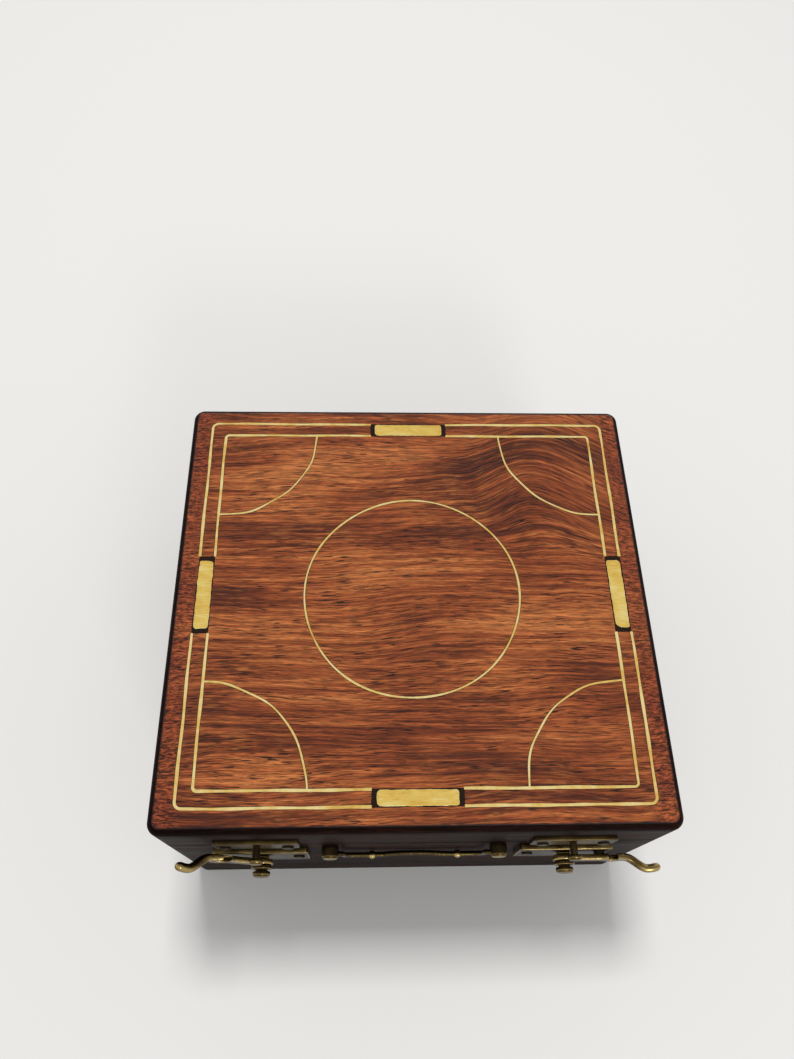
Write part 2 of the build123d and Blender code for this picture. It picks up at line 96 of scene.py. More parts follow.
# settings that recur: a smooth step of Map Range, a colour mix, and sums of Math
smooth = {"interpolation_type": "SMOOTHSTEP"}
inColour = {"data_type": "RGBA"}
darkened = {"data_type": "RGBA", "blend_type": "MULTIPLY"}
times = {"operation": "MULTIPLY"}
timesPlus = {"operation": "MULTIPLY_ADD"}
minus = {"operation": "SUBTRACT"}


def newMaterial(name):
    material = bpy.data.materials.new(name)
    material.use_nodes = True
    material.node_tree.nodes.clear()
    return material, material.node_tree


def finishMaterial(tree, height, strength, depth, sockets):
    # the height pressed into the surface by at most "depth" millimetres, then the shader and the output
    bump = addNode(tree, "Bump", {"Height": height, "Strength": strength, "Distance": mm * depth})
    shader = addNode(tree, "BsdfPrincipled", {**sockets, "Normal": bump})
    addNode(tree, "OutputMaterial", {"Surface": shader})


def patternAt(tree, place, size, detail, roughness=0.5, distortion=0.0):
    # noise stretched so that its unit is that many millimetres along, across and up
    along, across, up = (*size, size[-1])[:3]
    stretched = addNode(tree, "Mapping", {
        "Vector": place, "Scale": [1 / (mm * along), 1 / (mm * across), 1 / (mm * up)]})
    return addNode(tree, "TexNoise", {
        "Vector": stretched, "Scale": 1.0, "Detail": detail, "Roughness": roughness,
        "Distortion": distortion})


# Woods

def hardwood(name, look):
    # Open-pored hardwood. Grain runs along X, or along Y when turned. The eye sees zones of lighter and
    # darker wood, growth lines, fine fibre, short dark pores, and flecks where the fibres dive and rise.
    material, tree = newMaterial(name)
    place = addNode(tree, "TexCoord").outputs["Object"]
    axes = addNode(tree, "SeparateXYZ", [place]).outputs
    grain = addNode(tree, "Mapping", {
        "Vector": place, "Rotation": (0, 0, look["turn"]), "Location": look["shift"]})
    if look["knot"]:
        # beside a knot the grain leans: a point is read from higher up the further it lies to the right
        away = addNode(tree, "VectorMath", [place, [mm * v for v in look["knot"]]], operation="DISTANCE")
        lean = addNode(tree, "MapRange", [away, *[mm * v for v in look["leanSpan"]], look["leanBy"], 0.0],
                       **smooth)
        right = addNode(tree, "Math", [axes["X"], mm * look["knot"][0]], **minus)
        raised = addNode(tree, "CombineXYZ", {"Y": addNode(tree, "Math", [lean, right], **times)})
        grain = addNode(tree, "VectorMath", [grain, raised], operation="ADD")
    bent = grain
    for bend in ("sway", "curl"):
        # each point moved aside by up to half of "by" millimetres, so that the grain bends
        by = [mm * v for v in look[bend + "By"]]
        aside = patternAt(tree, bent, look[bend + "Size"], 1).outputs["Color"]
        centred = addNode(tree, "VectorMath", [aside, (0.5, 0.5, 0.5)], **minus)
        bent = addNode(tree, "VectorMath", [centred, by, bent], **timesPlus)

    growth, zone, glow, fibre, fleck, pore, poreGroup = [
        patternAt(tree, bent, look[layer + "Size"], *detail) for layer, *detail in (
            ("growth", 3, 0.55), ("zone", 2, 0.5), ("glow", 2, 0.6), ("fibre", 3, 0.68),
            ("fleck", 2, 0.65, 0.6), ("pore", 0.6, 0.5), ("poreGroup", 2, 0.5))]
    figure = addNode(tree, "Math", [zone, look["zoneShare"], growth], **timesPlus)
    tone = addNode(tree, "MapRange", [figure, *look["figureSpan"]], **smooth)
    body = addNode(tree, "ValToRGB", [tone], ramp=look["bodyRamp"])

    # glowing streaks, gathered in patches
    patch = patternAt(tree, grain, look["patchSize"], 1)
    glow, patch = [addNode(tree, "MapRange", [layer, *look[span]], **smooth)
                   for layer, span in ((glow, "glowSpan"), (patch, "patchSpan"))]
    glow = addNode(tree, "Math", [addNode(tree, "Math", [glow, patch], **times), look["glowShare"]], **times)
    colour = addNode(tree, "Mix", [glow, body, linear(look["glowColour"])], **inColour)

    if look["endGrain"]:
        # end grain shows as short dots where the edge is worked down across the fibres
        end = look["endGrain"]
        reach = addNode(tree, "Math", [axes["X"]], operation="ABSOLUTE")
        ragged = patternAt(tree, grain, end["raggedSize"], 1)
        reach = addNode(tree, "Math", [ragged, mm * end["raggedBy"], reach], **timesPlus)
        atEnd = addNode(tree, "MapRange", [reach, *[mm * v for v in end["span"]]], **smooth)
        dots = patternAt(tree, bent, end["size"], 3, 0.7, 0.6)
        dark = addNode(tree, "MapRange", [dots, *end["dotSpan"]], **smooth)
        speck = addNode(tree, "Mix", [dark, linear(end["dark"]), linear(end["light"])], **inColour)
        share = addNode(tree, "Math", [atEnd, end["share"]], **times)
        colour = addNode(tree, "Mix", [share, colour, speck], **inColour)
        fibre = addNode(tree, "Mix", [atEnd, fibre, dots], data_type="FLOAT")

    # fibre and flecks darken the wood, then the pores cut into it
    shade = addNode(tree, "Math", [
        addNode(tree, "MapRange", [layer, *span, 1 - depth, lightest], **smooth)
        for layer, span, depth, lightest in (
            (fibre, look["fibreSpan"], look["fibreDepth"], 1 + look["fibreLift"] * look["fibreDepth"]),
            (fleck, look["fleckSpan"], look["fleckDepth"], 1 + look["fleckLift"]))], **times)
    grey = addNode(tree, "CombineColor", [shade] * 3)
    colour = addNode(tree, "Mix", [1.0, colour, grey], **darkened)
    pore = addNode(tree, "MapRange", [pore, *look["poreSpan"]], **smooth)
    poreGroup = addNode(tree, "MapRange", [poreGroup, *look["poreGroupSpan"], *look["poreShare"]], **smooth)
    pores = addNode(tree, "Math", [pore, poreGroup], **times)
    colour = addNode(tree, "Mix", [pores, colour, linear(look["poreColour"])], **inColour)
    gloss = addNode(tree, "MapRange", [growth, *look["glossSpan"], *look["roughness"]], **smooth)

    if look["edgeStainAndShade"]:
        # dark staining and painted shade from where the top starts to turn down, drawn a little way along
        # the grain
        edgeDarkLook = look["edgeStainAndShade"]
        bleed = addNode(tree, "Math", [
            patternAt(tree, bent, edgeDarkLook["bleedSize"], 2), mm * edgeDarkLook["bleedBy"], axes["Z"]], **timesPlus)
        edgeDarkMask = addNode(tree, "MapRange", [
            bleed, *[mm * (top - below) for below in edgeDarkLook["below"]], 1.0, 0.0], **smooth)
        shadow = addNode(tree, "Mix", [1.0, linear(edgeDarkLook["colour"]), grey], **darkened)
        colour = addNode(tree, "Mix", [edgeDarkMask, colour, shadow], **inColour)
        gloss = addNode(tree, "Math", [edgeDarkMask, edgeDarkLook["duller"], gloss], **timesPlus)
    if look["inside"]:
        # the faces inside the case were left paler
        within = [addNode(tree, "Math", [
            addNode(tree, "Math", [axes[axis]], operation="ABSOLUTE"), mm * edge], operation="LESS_THAN")
            for axis, edge in zip("XY", look["inside"])]
        pale = addNode(tree, "ValToRGB", [tone], ramp=look["insideRamp"])
        pale = addNode(tree, "Mix", [1.0, pale, grey], **darkened)
        faint = addNode(tree, "Math", [pores, look["insidePores"]], **times)
        pale = addNode(tree, "Mix", [faint, pale, linear(look["poreColour"])], **inColour)
        within = addNode(tree, "Math", within, **times)
        colour = addNode(tree, "Mix", [within, colour, pale], **inColour)

    raised = addNode(tree, "Math", [fibre, look["fibreHeight"]], **times)
    height = addNode(tree, "Math", [raised, pores], **minus)
    finishMaterial(tree, height, look["bump"], 0.1, {
        "Base Color": colour, "Roughness": gloss, "Specular IOR Level": look["specular"]})
    return material


lidLook = {
    # sheesham, satin lacquer: orange-brown to purple-brown zones with near-black pores.
    # Fibres are really 0.1 mm wide and are drawn at 0.36 mm so that they show.
    "turn": 0.0, "shift": (0.013, 0.004, 0.0),
    "swaySize": (95, 50), "swayBy": (7.0, 15.0, 0.0), "curlSize": (24, 11), "curlBy": (1.6, 1.7, 0.0),
    "knot": (82, 62, top), "leanSpan": (10, 58), "leanBy": 0.6,
    "growthSize": (90, 1.9), "zoneSize": (70, 20), "zoneShare": 1.0, "figureSpan": (0.68, 1.3),
    "bodyRamp": [(0.0, "#4c2116"), (0.3, "#71351b"), (0.55, "#914926"), (0.8, "#a75b30"), (1.0, "#bd713e")],
    "glowSize": (12, 1.2), "glowSpan": (0.45, 0.72), "glowShare": 0.45, "glowColour": "#c87c42",
    "patchSize": (46, 30), "patchSpan": (0.38, 0.62),
    "fibreSize": (10, 0.36), "fibreSpan": (0.32, 0.66), "fibreDepth": 0.58, "fibreLift": 0.3,
    "fleckSize": (4.5, 0.6), "fleckSpan": (0.33, 0.56), "fleckDepth": 0.26, "fleckLift": 0.05,
    "poreSize": (6.5, 0.32), "poreSpan": (0.575, 0.63), "poreColour": "#1d0c07",
    "poreGroupSize": (22, 4), "poreGroupSpan": (0.36, 0.62), "poreShare": (0.3, 0.95),
    "endGrain": {"size": (2.6, 0.6), "dotSpan": (0.38, 0.6), "dark": "#2e0f0b", "light": "#a04b2d",
                 "share": 0.6, "span": (89.5, 94.5), "raggedSize": (14, 9), "raggedBy": 6},
    "edgeStainAndShade": {"colour": "#170a07", "below": (0.42, 0.14), "bleedSize": (3.0, 0.9), "bleedBy": 0.22,
                  "duller": 0.12},
    "inside": None, "bump": 0.45, "fibreHeight": 0.3, "glossSpan": (0.3, 0.7), "roughness": (0.3, 0.4),
    "specular": 0.22,
}
plainBoard = {**lidLook, "knot": None, "endGrain": None, "edgeStainAndShade": None}
edgeLook = {
    **plainBoard,
    # the lid's own edge: dark staining, drawn near black as painted shade, and only waxed
    "bodyRamp": [(0.0, "#0e0605"), (0.4, "#170a07"), (0.8, "#22100b"), (1.0, "#2e160f")],
    "glowShare": 0.2, "glowColour": "#3b1e12", "poreColour": "#080403",
    "roughness": (0.45, 0.52), "specular": 0.02,
}
wallLook = {
    **plainBoard,
    # the same wood, given a dark staining and drawn almost black outside as painted shade, and left natural
    # inside
    "shift": (0.05, 0.11, 0.0), "growthSize": (150, 4, 4), "zoneSize": (120, 30, 14),
    "fibreSize": (16, 0.5, 0.5), "fleckSize": (9, 1.0, 1.0), "fleckDepth": 0.16,
    "poreSize": (5, 0.4, 0.4), "poreColour": "#080403",
    "bodyRamp": [(0.0, "#100705"), (0.35, "#1b0d09"), (0.7, "#29150e"), (1.0, "#381e13")],
    "glowSize": (14, 3, 3), "glowShare": 0.3, "glowColour": "#40210f",
    "inside": (halfWidth - 8.95, halfDepth - 8.95), "insidePores": 0.6,
    "insideRamp": [(0.0, "#5c3620"), (0.4, "#7c4a2b"), (0.75, "#94603a"), (1.0, "#ab7849")],
    "bump": 0.6, "roughness": (0.45, 0.56), "specular": 0.03,
}
sideWallLook = {**wallLook, "turn": quarter, "shift": (0.21, -0.04, 0.0)}
blockLook = {
    **plainBoard,
    # planed and oiled, no lacquer
    "shift": (-0.08, 0.02, 0.05), "growthSize": (60, 3.2, 3.2), "zoneSize": (60, 14, 14),
    "bodyRamp": [(0.0, "#54301f"), (0.4, "#74452c"), (0.7, "#8b5838"), (1.0, "#9f6b47")],
    "fibreDepth": 0.3, "glowShare": 0.25, "glowColour": "#94532f", "poreColour": "#33190f",
    "roughness": (0.5, 0.62), "specular": 0.3,
}
lidWood, edgeWood, wallWood, sideWallWood, blockWood = [hardwood(name, look) for name, look in (
    ("lacqueredSheesham", lidLook), ("waxedSheeshamEdgeStainAndShade", edgeLook), ("darkStainedShadedSheesham", wallLook),
    ("darkStainedShadedSheeshamSides", sideWallLook), ("oiledSheesham", blockLook))]
print("woods made")


# Brass

def brass(name, look):
    # Brass: bright where hands or files rub it, brown in the recesses, with fine lines along it.
    # "wear" is 1 on the rubbed edges of a made piece, 0 on its flats and below 0 where dirt collects; it
    # also carries painted highlight and shade on the hooks, posts and catch plates.
    material, tree = newMaterial(name)
    place = addNode(tree, "TexCoord").outputs["Object"]
    cloud, spot, brush = [patternAt(tree, place, look[layer + "Size"], 3, 0.6)
                          for layer in ("cloud", "spot", "brush")]
    worn = addNode(tree, "Attribute", attribute_name="wear").outputs["Fac"]
    bright = look["base"]
    for layer, share in ((cloud, "cloudShare"), (brush, "brushShare"), (worn, "wearShare")):
        bright = addNode(tree, "Math", [layer, look[share], bright], **timesPlus)
    colour = addNode(tree, "ValToRGB", [bright], ramp=look["ramp"])
    spots = addNode(tree, "MapRange", [spot, *look["spotSpan"], 0.0, look["spotShare"]], **smooth)
    colour = addNode(tree, "Mix", [spots, colour, linear(look["spotColour"])], **inColour)
    # a brighter place is smoother
    rough = addNode(tree, "Math", [brush, bright], **minus)
    roughness = addNode(tree, "MapRange", [rough, -0.5, 0.5, *look["roughness"]])
    height = addNode(tree, "Math", [spot, look["spotHeight"], brush], **timesPlus)
    finishMaterial(tree, height, look["bump"], 0.05, {
        "Base Color": colour, "Metallic": 1.0, "Roughness": roughness})
    return material


plateLook = {
    # sheet brass filed flush with the lid, so that its marks all run along the grain of the wood
    "cloudSize": (9, 4, 4), "spotSize": (0.9, 0.7, 0.7), "brushSize": (6, 0.3, 0.3),
    "base": -0.05, "cloudShare": 0.7, "brushShare": 0.5, "wearShare": 0.15,
    "ramp": [(0.2, "#c4913b"), (0.45, "#ecc25f"), (0.6, "#f7d676"), (0.8, "#fff0b4")],
    "spotSpan": (0.6, 0.75), "spotShare": 0.5, "spotColour": "#a37d36", "spotHeight": -0.5,
    "roughness": (0.34, 0.56), "bump": 0.9,
}
stringLook = {
    **plateLook,
    # thin strip hammered into a groove and sanded flush
    "cloudSize": (16, 16, 16), "brushSize": (4, 4, 4), "spotSize": (1.4, 1.4, 1.4),
    "ramp": [(0.25, "#d9a048"), (0.45, "#f2ca70"), (0.65, "#ffe6a0")], "spotShare": 0.25, "bump": 0.15,
}
agedLook = {
    # cast brass gone brown in the shop and rubbed bright on its edges since
    "cloudSize": (7, 7, 6), "spotSize": (0.7, 0.7, 0.7), "brushSize": (2.2, 0.35, 0.35),
    "base": -0.02, "cloudShare": 0.45, "brushShare": 0.25, "wearShare": 0.62,
    "ramp": [(0.1, "#19130b"), (0.35, "#352a19"), (0.65, "#6b5833"), (1.0, "#bfa56b")],
    "spotSpan": (0.6, 0.75), "spotShare": 0.3, "spotColour": "#17120a", "spotHeight": -0.5,
    "roughness": (0.18, 0.4), "bump": 0.2,
}
hingeLook = {
    **agedLook,
    # drawn and pressed hinge brass, evenly dulled
    "cloudSize": (9, 2.5, 2.5), "base": 0.0, "cloudShare": 0.8, "brushSize": (6, 0.4, 0.4),
    "ramp": [(0.2, "#33240f"), (0.4, "#6a512a"), (0.6, "#94763f"), (0.9, "#c6a566")],
    "roughness": (0.2, 0.42),
}
plateBrass, stringBrass, agedBrass, hingeBrass = [brass(name, look) for name, look in (
    ("filedSheetBrass", plateLook), ("inlaidBrassString", stringLook), ("agedCastBrass", agedLook),
    ("hingeBrass", hingeLook))]
print("brass made")


# Mastic and felt

def darkFiller(name, look):
    # shellac and wood dust pressed into the recess: near black, dull, grainy
    material, tree = newMaterial(name)
    grit = patternAt(tree, addNode(tree, "TexCoord").outputs["Object"], look["gritSize"], 2)
    finishMaterial(tree, grit, look["bump"], 0.1, {
        "Base Color": addNode(tree, "ValToRGB", [grit], ramp=look["ramp"]),
        "Roughness": look["roughness"], "Specular IOR Level": look["specular"]})
    return material


def woolFelt(name, look):
    # pressed wool felt: no weave, a soft nap of tangled fibres about half a millimetre across
    material, tree = newMaterial(name)
    place = addNode(tree, "TexCoord").outputs["Object"]
    nap, cloud = [patternAt(tree, place, look[layer + "Size"], detail, 0.7, 0.8)
                  for layer, detail in (("nap", 4), ("cloud", 2))]
    colour = addNode(tree, "ValToRGB", [nap], ramp=look["ramp"])
    worn = addNode(tree, "MapRange", [cloud, *look["cloudSpan"], 0.0, look["wornShare"]])
    colour = addNode(tree, "Mix", [worn, colour, linear(look["wornColour"])], **inColour)
    finishMaterial(tree, nap, look["bump"], 0.35, {
        "Base Color": colour, "Roughness": look["roughness"], "Specular IOR Level": look["specular"],
        "Sheen Weight": look["sheen"], "Sheen Roughness": 0.5})
    return material


mastic = darkFiller("shellacMastic", {
    "gritSize": (0.6, 0.6), "ramp": [(0.3, "#120b08"), (0.7, "#2a1c15")],
    "bump": 0.6, "roughness": 0.6, "specular": 0.1,
})
felt = woolFelt("greenWoolFelt", {
    "napSize": (0.7, 0.7), "ramp": [(0.3, "#12301f"), (0.5, "#1f4a33"), (0.72, "#2f6447")],
    "cloudSize": (24, 24), "cloudSpan": (0.3, 0.7), "wornShare": 0.45, "wornColour": "#2a5a3f",
    "bump": 0.9, "roughness": 0.95, "specular": 0.1, "sheen": 0.35,
})
print("mastic and felt made")


# Surfaces. Each is a stack of rings, rings[i, j] being point j of ring i, closed by a pole at both ends.

def pathOf(x, y):
    # points from their x and y, one of which may be the same for all
    return np.stack(np.broadcast_arrays(x, y), -1)


def lifted(flat, height):
    # flat points given their height, or a row of points for each height
    return np.concatenate([flat, np.broadcast_to(height, flat.shape[:-1])[..., None]], -1)


def roundAngles(count):
    # even angles round a circle
    return np.linspace(0, 2 * math.pi, count, endpoint=False)


def ringFaces(count, size):
    # quads between neighbouring rings, then a fan of triangles at each pole
    i, j = np.meshgrid(np.arange(count - 1), np.arange(size), indexing="ij")
    k = (j + 1) % size
    quads = np.stack([i * size + j, i * size + k, (i + 1) * size + k, (i + 1) * size + j], -1)
    j = np.arange(size)
    k = (j + 1) % size
    last = (count - 1) * size
    start = np.stack([np.full(size, count * size), k, j], -1)
    end = np.stack([np.full(size, count * size + 1), last + j, last + k], -1)
    return quads.reshape(-1, 4), np.concatenate([start, end])


def volumeOf(points, quads, triangles):
    # one sixth of the summed triple products of the faces, which is negative when they point inwards
    fans = np.concatenate([triangles, quads[:, [0, 1, 2]], quads[:, [0, 2, 3]]])
    a, b, c = points[fans[:, 0]], points[fans[:, 1]], points[fans[:, 2]]
    return np.einsum("ij,ij->i", a, np.cross(b, c)).sum() / 6


def newMesh(node, points, faces, material):
    # a mesh from points in millimetres, called by the CAD node's name in camelCase
    first, *rest = node.split("_")
    mesh = bpy.data.meshes.new(first + "".join(word.capitalize() for word in rest))
    mesh.from_pydata((points * mm).tolist(), [], faces)
    mesh.polygons.foreach_set("use_smooth", np.ones(len(faces), bool))
    mesh.materials.append(material)
    return mesh


def newPiece(node, mesh, body):
    # the mesh's object, which rides on a body and stands in for the node
    piece = bpy.data.objects.new(mesh.name, mesh)
    scene.collection.objects.link(piece)
    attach(piece, body)
    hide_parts(node)
    return piece


def makePiece(node, ringSets, material, body, wear=None, sharp=40.0, second=None, poleWear=0.0):
    # One piece from one or more stacks of rings in millimetres, faces turned outwards. "second" is another
    # material and the ring that it starts from.
    points, faces, shares, base = [], [], [], 0
    for n, rings in enumerate(ringSets):
        count, size = rings.shape[:2]
        solid = np.concatenate([rings.reshape(-1, 3), rings[:1].mean(1), rings[-1:].mean(1)])
        quads, triangles = ringFaces(count, size)
        if volumeOf(solid, quads, triangles) < 0:
            quads, triangles = quads[:, ::-1], triangles[:, ::-1]
        points.append(solid)
        faces += (quads + base).tolist() + (triangles + base).tolist()
        rub = np.zeros((count, size)) if wear is None else wear[n]
        shares.append(np.concatenate([rub.ravel(), [rub[0].mean() + poleWear, rub[-1].mean()]]))
        base += len(solid)
    mesh = newMesh(node, np.concatenate(points), faces, material)
    mesh.set_sharp_from_angle(angle=math.radians(sharp))
    mesh.attributes.new("wear", "FLOAT", "POINT").data.foreach_set(
        "value", np.concatenate(shares).astype(np.float32))
    if second:
        mesh.materials.append(second[0])
        after = np.arange(len(faces)) >= second[1] * size
        after[-2 * size:-size] = False  # the fan over the first ring
        mesh.polygons.foreach_set("material_index", after.astype(np.int32))
    return newPiece(node, mesh, body)


def cornerArcs(halfX, halfY, radii, count):
    # a quarter circle at each corner of a rectangle, anticlockwise from the corner at +x +y
    arcs = []
    for turn, (r, (sx, sy)) in enumerate(zip(radii, [(1, 1), (-1, 1), (-1, -1), (1, -1)])):
        a = np.linspace(0, quarter, count) + turn * quarter
        arcs.append(pathOf(sx * (halfX - r) + r * np.cos(a), sy * (halfY - r) + r * np.sin(a)))
    return arcs


def roundedRectangle(halfX, halfY, radius, perCorner, perSide):
    # quarter circles joined by straight sides
    arcs = cornerArcs(halfX, halfY, [radius] * 4, perCorner)
    t = np.linspace(0, 1, perSide + 2)[1:-1, None]
    sides = [arcs[k][-1] * (1 - t) + arcs[(k + 1) % 4][0] * t for k in range(4)]
    return np.concatenate([part for k in range(4) for part in (arcs[k], sides[k])])


def inwardNormals(outline):
    # square to the line between each point's neighbours, towards the middle
    along = np.roll(outline, -1, 0) - np.roll(outline, 1, 0)
    along /= np.linalg.norm(along, axis=1, keepdims=True)
    return pathOf(-along[:, 1], along[:, 0])


def sideOf(path):
    # square to a path at each of its points, to its left
    along = np.gradient(path, axis=0)
    return pathOf(-along[:, 1], along[:, 0]) / np.linalg.norm(along, axis=1, keepdims=True)


def lengthAlong(path):
    # distance along a path from its start to each of its points
    return np.concatenate([[0], np.cumsum(np.linalg.norm(np.diff(path, axis=0), axis=1))])


def pointsAt(path, length, places):
    # the points of a path at the given distances along it
    return np.stack([np.interp(places, length, path[:, k]) for k in (0, 1)], -1)


slab = {
    # the flat rim inside the rounding, and the dirt on it
    "rim": 0.15, "dirt": -0.35,
    # where the rounding is rubbed most and how widely, as shares of its radius
    "rubAt": 0.3, "rubSpread": 0.5, "leastSpread": 0.05,
}


def slabRings(outline, thick, round, steps=6, inward=None):
    # The outline carried up its thickness and drawn in along a quarter circle at the front edge: inset
    # r(1 - cos a), height r sin a from where the curve starts. Rubbed as exp(-d^2), d being how many
    # spreads a ring lies from the place that is rubbed most.
    inward = inwardNormals(outline) if inward is None else inward
    a = np.linspace(0, quarter, steps)[::-1]
    insets = np.concatenate([[round + slab["rim"]], round * (1 - np.cos(a)), [0.0]])
    heights = np.concatenate([[thick], thick - round * (1 - np.sin(a)), [0.0]])
    flat = outline[None] + inward[None] * insets[:, None, None]
    spread = slab["rubSpread"] * round + slab["leastSpread"]
    wear = np.exp(-((insets - slab["rubAt"] * round) / spread) ** 2) * (heights > 0)
    wear[0] = slab["dirt"]
    return lifted(flat, heights[:, None]), np.broadcast_to(wear[:, None], flat.shape[:2])


def onFront(local, x, z):
    # local x across, y up and z out of the front face, placed on the case
    return np.stack([x + local[..., 0], frontFace - local[..., 2], z + local[..., 1]], -1)


def lathe(profile, x, z, around=48):
    # a profile of radius and distance out of the front face, turned about an axis square to it
    a = roundAngles(around)
    r, out = profile[:, 0, None], profile[:, 1, None]
    return onFront(np.stack([r * np.cos(a), r * np.sin(a), out + 0 * a], -1), x, z)


def softCorners(p, cut):
    # each corner of a turned profile replaced by points either side of it and one pulled inwards, by the
    # 0.29 that puts it on the quarter circle of a square corner
    before, after = p[:-2] - p[1:-1], p[2:] - p[1:-1]
    reach = np.minimum(cut, 0.45 * np.minimum(np.linalg.norm(before, axis=1), np.linalg.norm(after, axis=1)))
    before *= (reach / np.linalg.norm(before, axis=1))[:, None]
    after *= (reach / np.linalg.norm(after, axis=1))[:, None]
    near, far, mid = p[1:-1] + before, p[1:-1] + after, p[1:-1] + (before + after) * 0.29
    inner = np.stack([near, mid, far], 1).reshape(-1, 2)
    return np.concatenate([p[:1], inner, p[-1:]])


def wobble(t, seed, waves):
    # a smooth wander between -1 and 1: sines, each with its waves per unit of t, at fixed chance phases
    rng = np.random.default_rng(seed)
    phase, weight = rng.uniform(0, 2 * math.pi, len(waves)), rng.uniform(0.5, 1.0, len(waves))
    total = sum(w * np.sin(2 * math.pi * f * t + p) for f, p, w in zip(waves, phase, weight))
    return total / weight.sum()


# The lid board: a slab whose top falls away a little towards its edge, then turns over. The fall is
# a parabola, drop (1 - s)^2 at the share s of its run from where the turn starts.

board = {"cornerRound": 5.0, "leastRound": 0.7, "edgeRound": 4.0, "fallRun": 4.5, "drop": 0.16,
         "darkFrom": 12}  # the ring, partly down the turn, from which the edge is dark


def boardRings():
    def ring(inset, height):
        flat = roundedRectangle(halfWidth - inset, halfDepth - inset,
                                max(board["cornerRound"] - inset, board["leastRound"]), 12, 30)
        return lifted(flat, height)

    round, edge = board["edgeRound"], top - board["drop"]
    falling = [ring(round + board["fallRun"] * s, top - board["drop"] * (1 - s) ** 2)
               for s in np.linspace(1, 0, 9)]
    turning = [ring(round * (1 - math.cos(a)), edge - round * (1 - math.sin(a)))
               for a in np.linspace(quarter, 0, 14)[1:]]
    return np.stack(falling + turning + [ring(0.0, lidLow[2])])


# the turned-down edge takes the edge wood: dark staining with painted shade
makePiece("lid_board", [boardRings()], lidWood, "lid",
          second=(edgeWood, board["darkFrom"]))


# Brass strings: a flat strip carried along each path, its width and line wandering as hand work does

strings = {
    "width": 1.12, "fineWidth": 0.78, "deep": 1.0, "proud": 0.03, "dome": 0.03,
    "outer": (90.1, 85.9, 2.6), "inner": (83.8, 79.6, 1.6),  # half sizes and corner radius
    "gap": 17.35,  # from the middle of a side to where a string starts beside the plate
    "arcRadius": 42.0, "ringRadius": 45.0, "gluePast": 0.16, "glueUp": 0.012,
    # wander: the line's in millimetres and the others' as shares, with their waves per millimetre
    "wander": 0.2, "fineWander": 0.1, "lineWaves": [0.006, 0.013, 0.03],
    "widthWander": 0.24, "widthWaves": [0.011, 0.027, 0.06],
    "glueWander": 0.5, "glueWaves": [0.05, 0.13, 0.3],
    # how far the radius of an arc and of the ring wanders, and the arc's waves per radian
    "arcWander": 0.5, "arcWaves": [0.6, 1.3, 2.2], "ringWander": 0.35,
}
glueLines = []


def stripRings(path, width, seed, wander):
    # at each point of the path a flattened half round, square to the path, and a wider dark bed under it
    s, side, length = strings, sideOf(path), lengthAlong(path)
    line = path + side * (wander * wobble(length, seed, s["lineWaves"]))[:, None]
    half = width / 2 * (1 + s["widthWander"] * wobble(length, seed + 1, s["widthWaves"]))
    past = s["gluePast"] * (1 + s["glueWander"] * wobble(length, seed + 2, s["glueWaves"]))
    across = np.array([-1.0, -1.0, -0.8, 0.0, 0.8, 1.0, 1.0])

    def carried(half, up):
        return lifted(line[:, None] + side[:, None] * (half[:, None] * across)[..., None], top + up)

    # a narrower string stands less proud, so that its ends pass under the string that they meet
    deep = s["deep"]
    proud, dome = [s[key] * width / s["width"] for key in ("proud", "dome")]
    glueLines.append(carried(half + past, np.array([-deep, 0, 0, 0, 0, 0, -deep]) + s["glueUp"]))
    return carried(half, np.array([-deep, proud, *[proud + dome] * 3, proud, -deep]))


def cornerPath(x, y, radius, signX, signY, spacing=0.5):
    # from the plate on one side, round the corner, to the plate on the next
    straightX = np.arange(strings["gap"], x - radius, spacing)
    a = np.linspace(-quarter, 0, 9)
    arc = pathOf(x - radius + radius * np.cos(a), -(y - radius) + radius * np.sin(a))
    straightY = -np.arange(strings["gap"], y - radius, spacing)[::-1]
    return np.concatenate([pathOf(straightX, -y), arc, pathOf(x, straightY)]) * [signX, -signY]


quarters = [(1, -1), (-1, -1), (-1, 1), (1, 1)]
for line, seed in (("outer", 10), ("inner", 30)):
    makePiece(line + "_string", [
        stripRings(cornerPath(*strings[line], sx, sy), strings["width"], seed + k, strings["wander"])
        for k, (sx, sy) in enumerate(quarters)], stringBrass, "lid")

# quarter circles about the corners of the inner string
outerX, outerY = strings["outer"][:2]
innerX, innerY = strings["inner"][:2]
arcs = []
for k, (sx, sy) in enumerate(quarters):
    a = np.linspace(0, quarter, 120)
    radius = strings["arcRadius"] + strings["arcWander"] * wobble(a, 50 + k, strings["arcWaves"])
    path = pathOf(sx * (innerX - radius * np.cos(a)), sy * (innerY - radius * np.sin(a)))
    arcs.append(stripRings(path, strings["fineWidth"], 60 + k, strings["fineWander"]))
makePiece("corner_arc_strings", arcs, stringBrass, "lid")

# the ring: one long strip whose two ends meet
a = np.linspace(-quarter, 3 * quarter, 520)
radius = strings["ringRadius"] + strings["ringWander"] * (np.sin(2 * a + 0.6) + 0.5 * np.sin(5 * a))
ring = stripRings(pathOf(radius * np.cos(a), radius * np.sin(a)), strings["fineWidth"], 80, 0.0)
makePiece("ring_string", [ring], stringBrass, "lid")


# Inlaid plates: a strip cut by hand, so its corners and long edges differ

plates = {
    "half": (15.5, 3.05), "deep": 1.2, "proud": 0.06, "round": 0.25, "waves": [1, 2, 4, 7, 13, 23],
    "faceShare": (0.92, 0.7),  # the even outline inside a plate
    # the dark bed round a plate: how far past it, its corners and its own wander
    "bedPast": (2.0, 0.35), "bedCorner": 0.9, "bedRound": 0.05, "bedWander": 0.15, "bedWaves": [2, 5, 9],
}


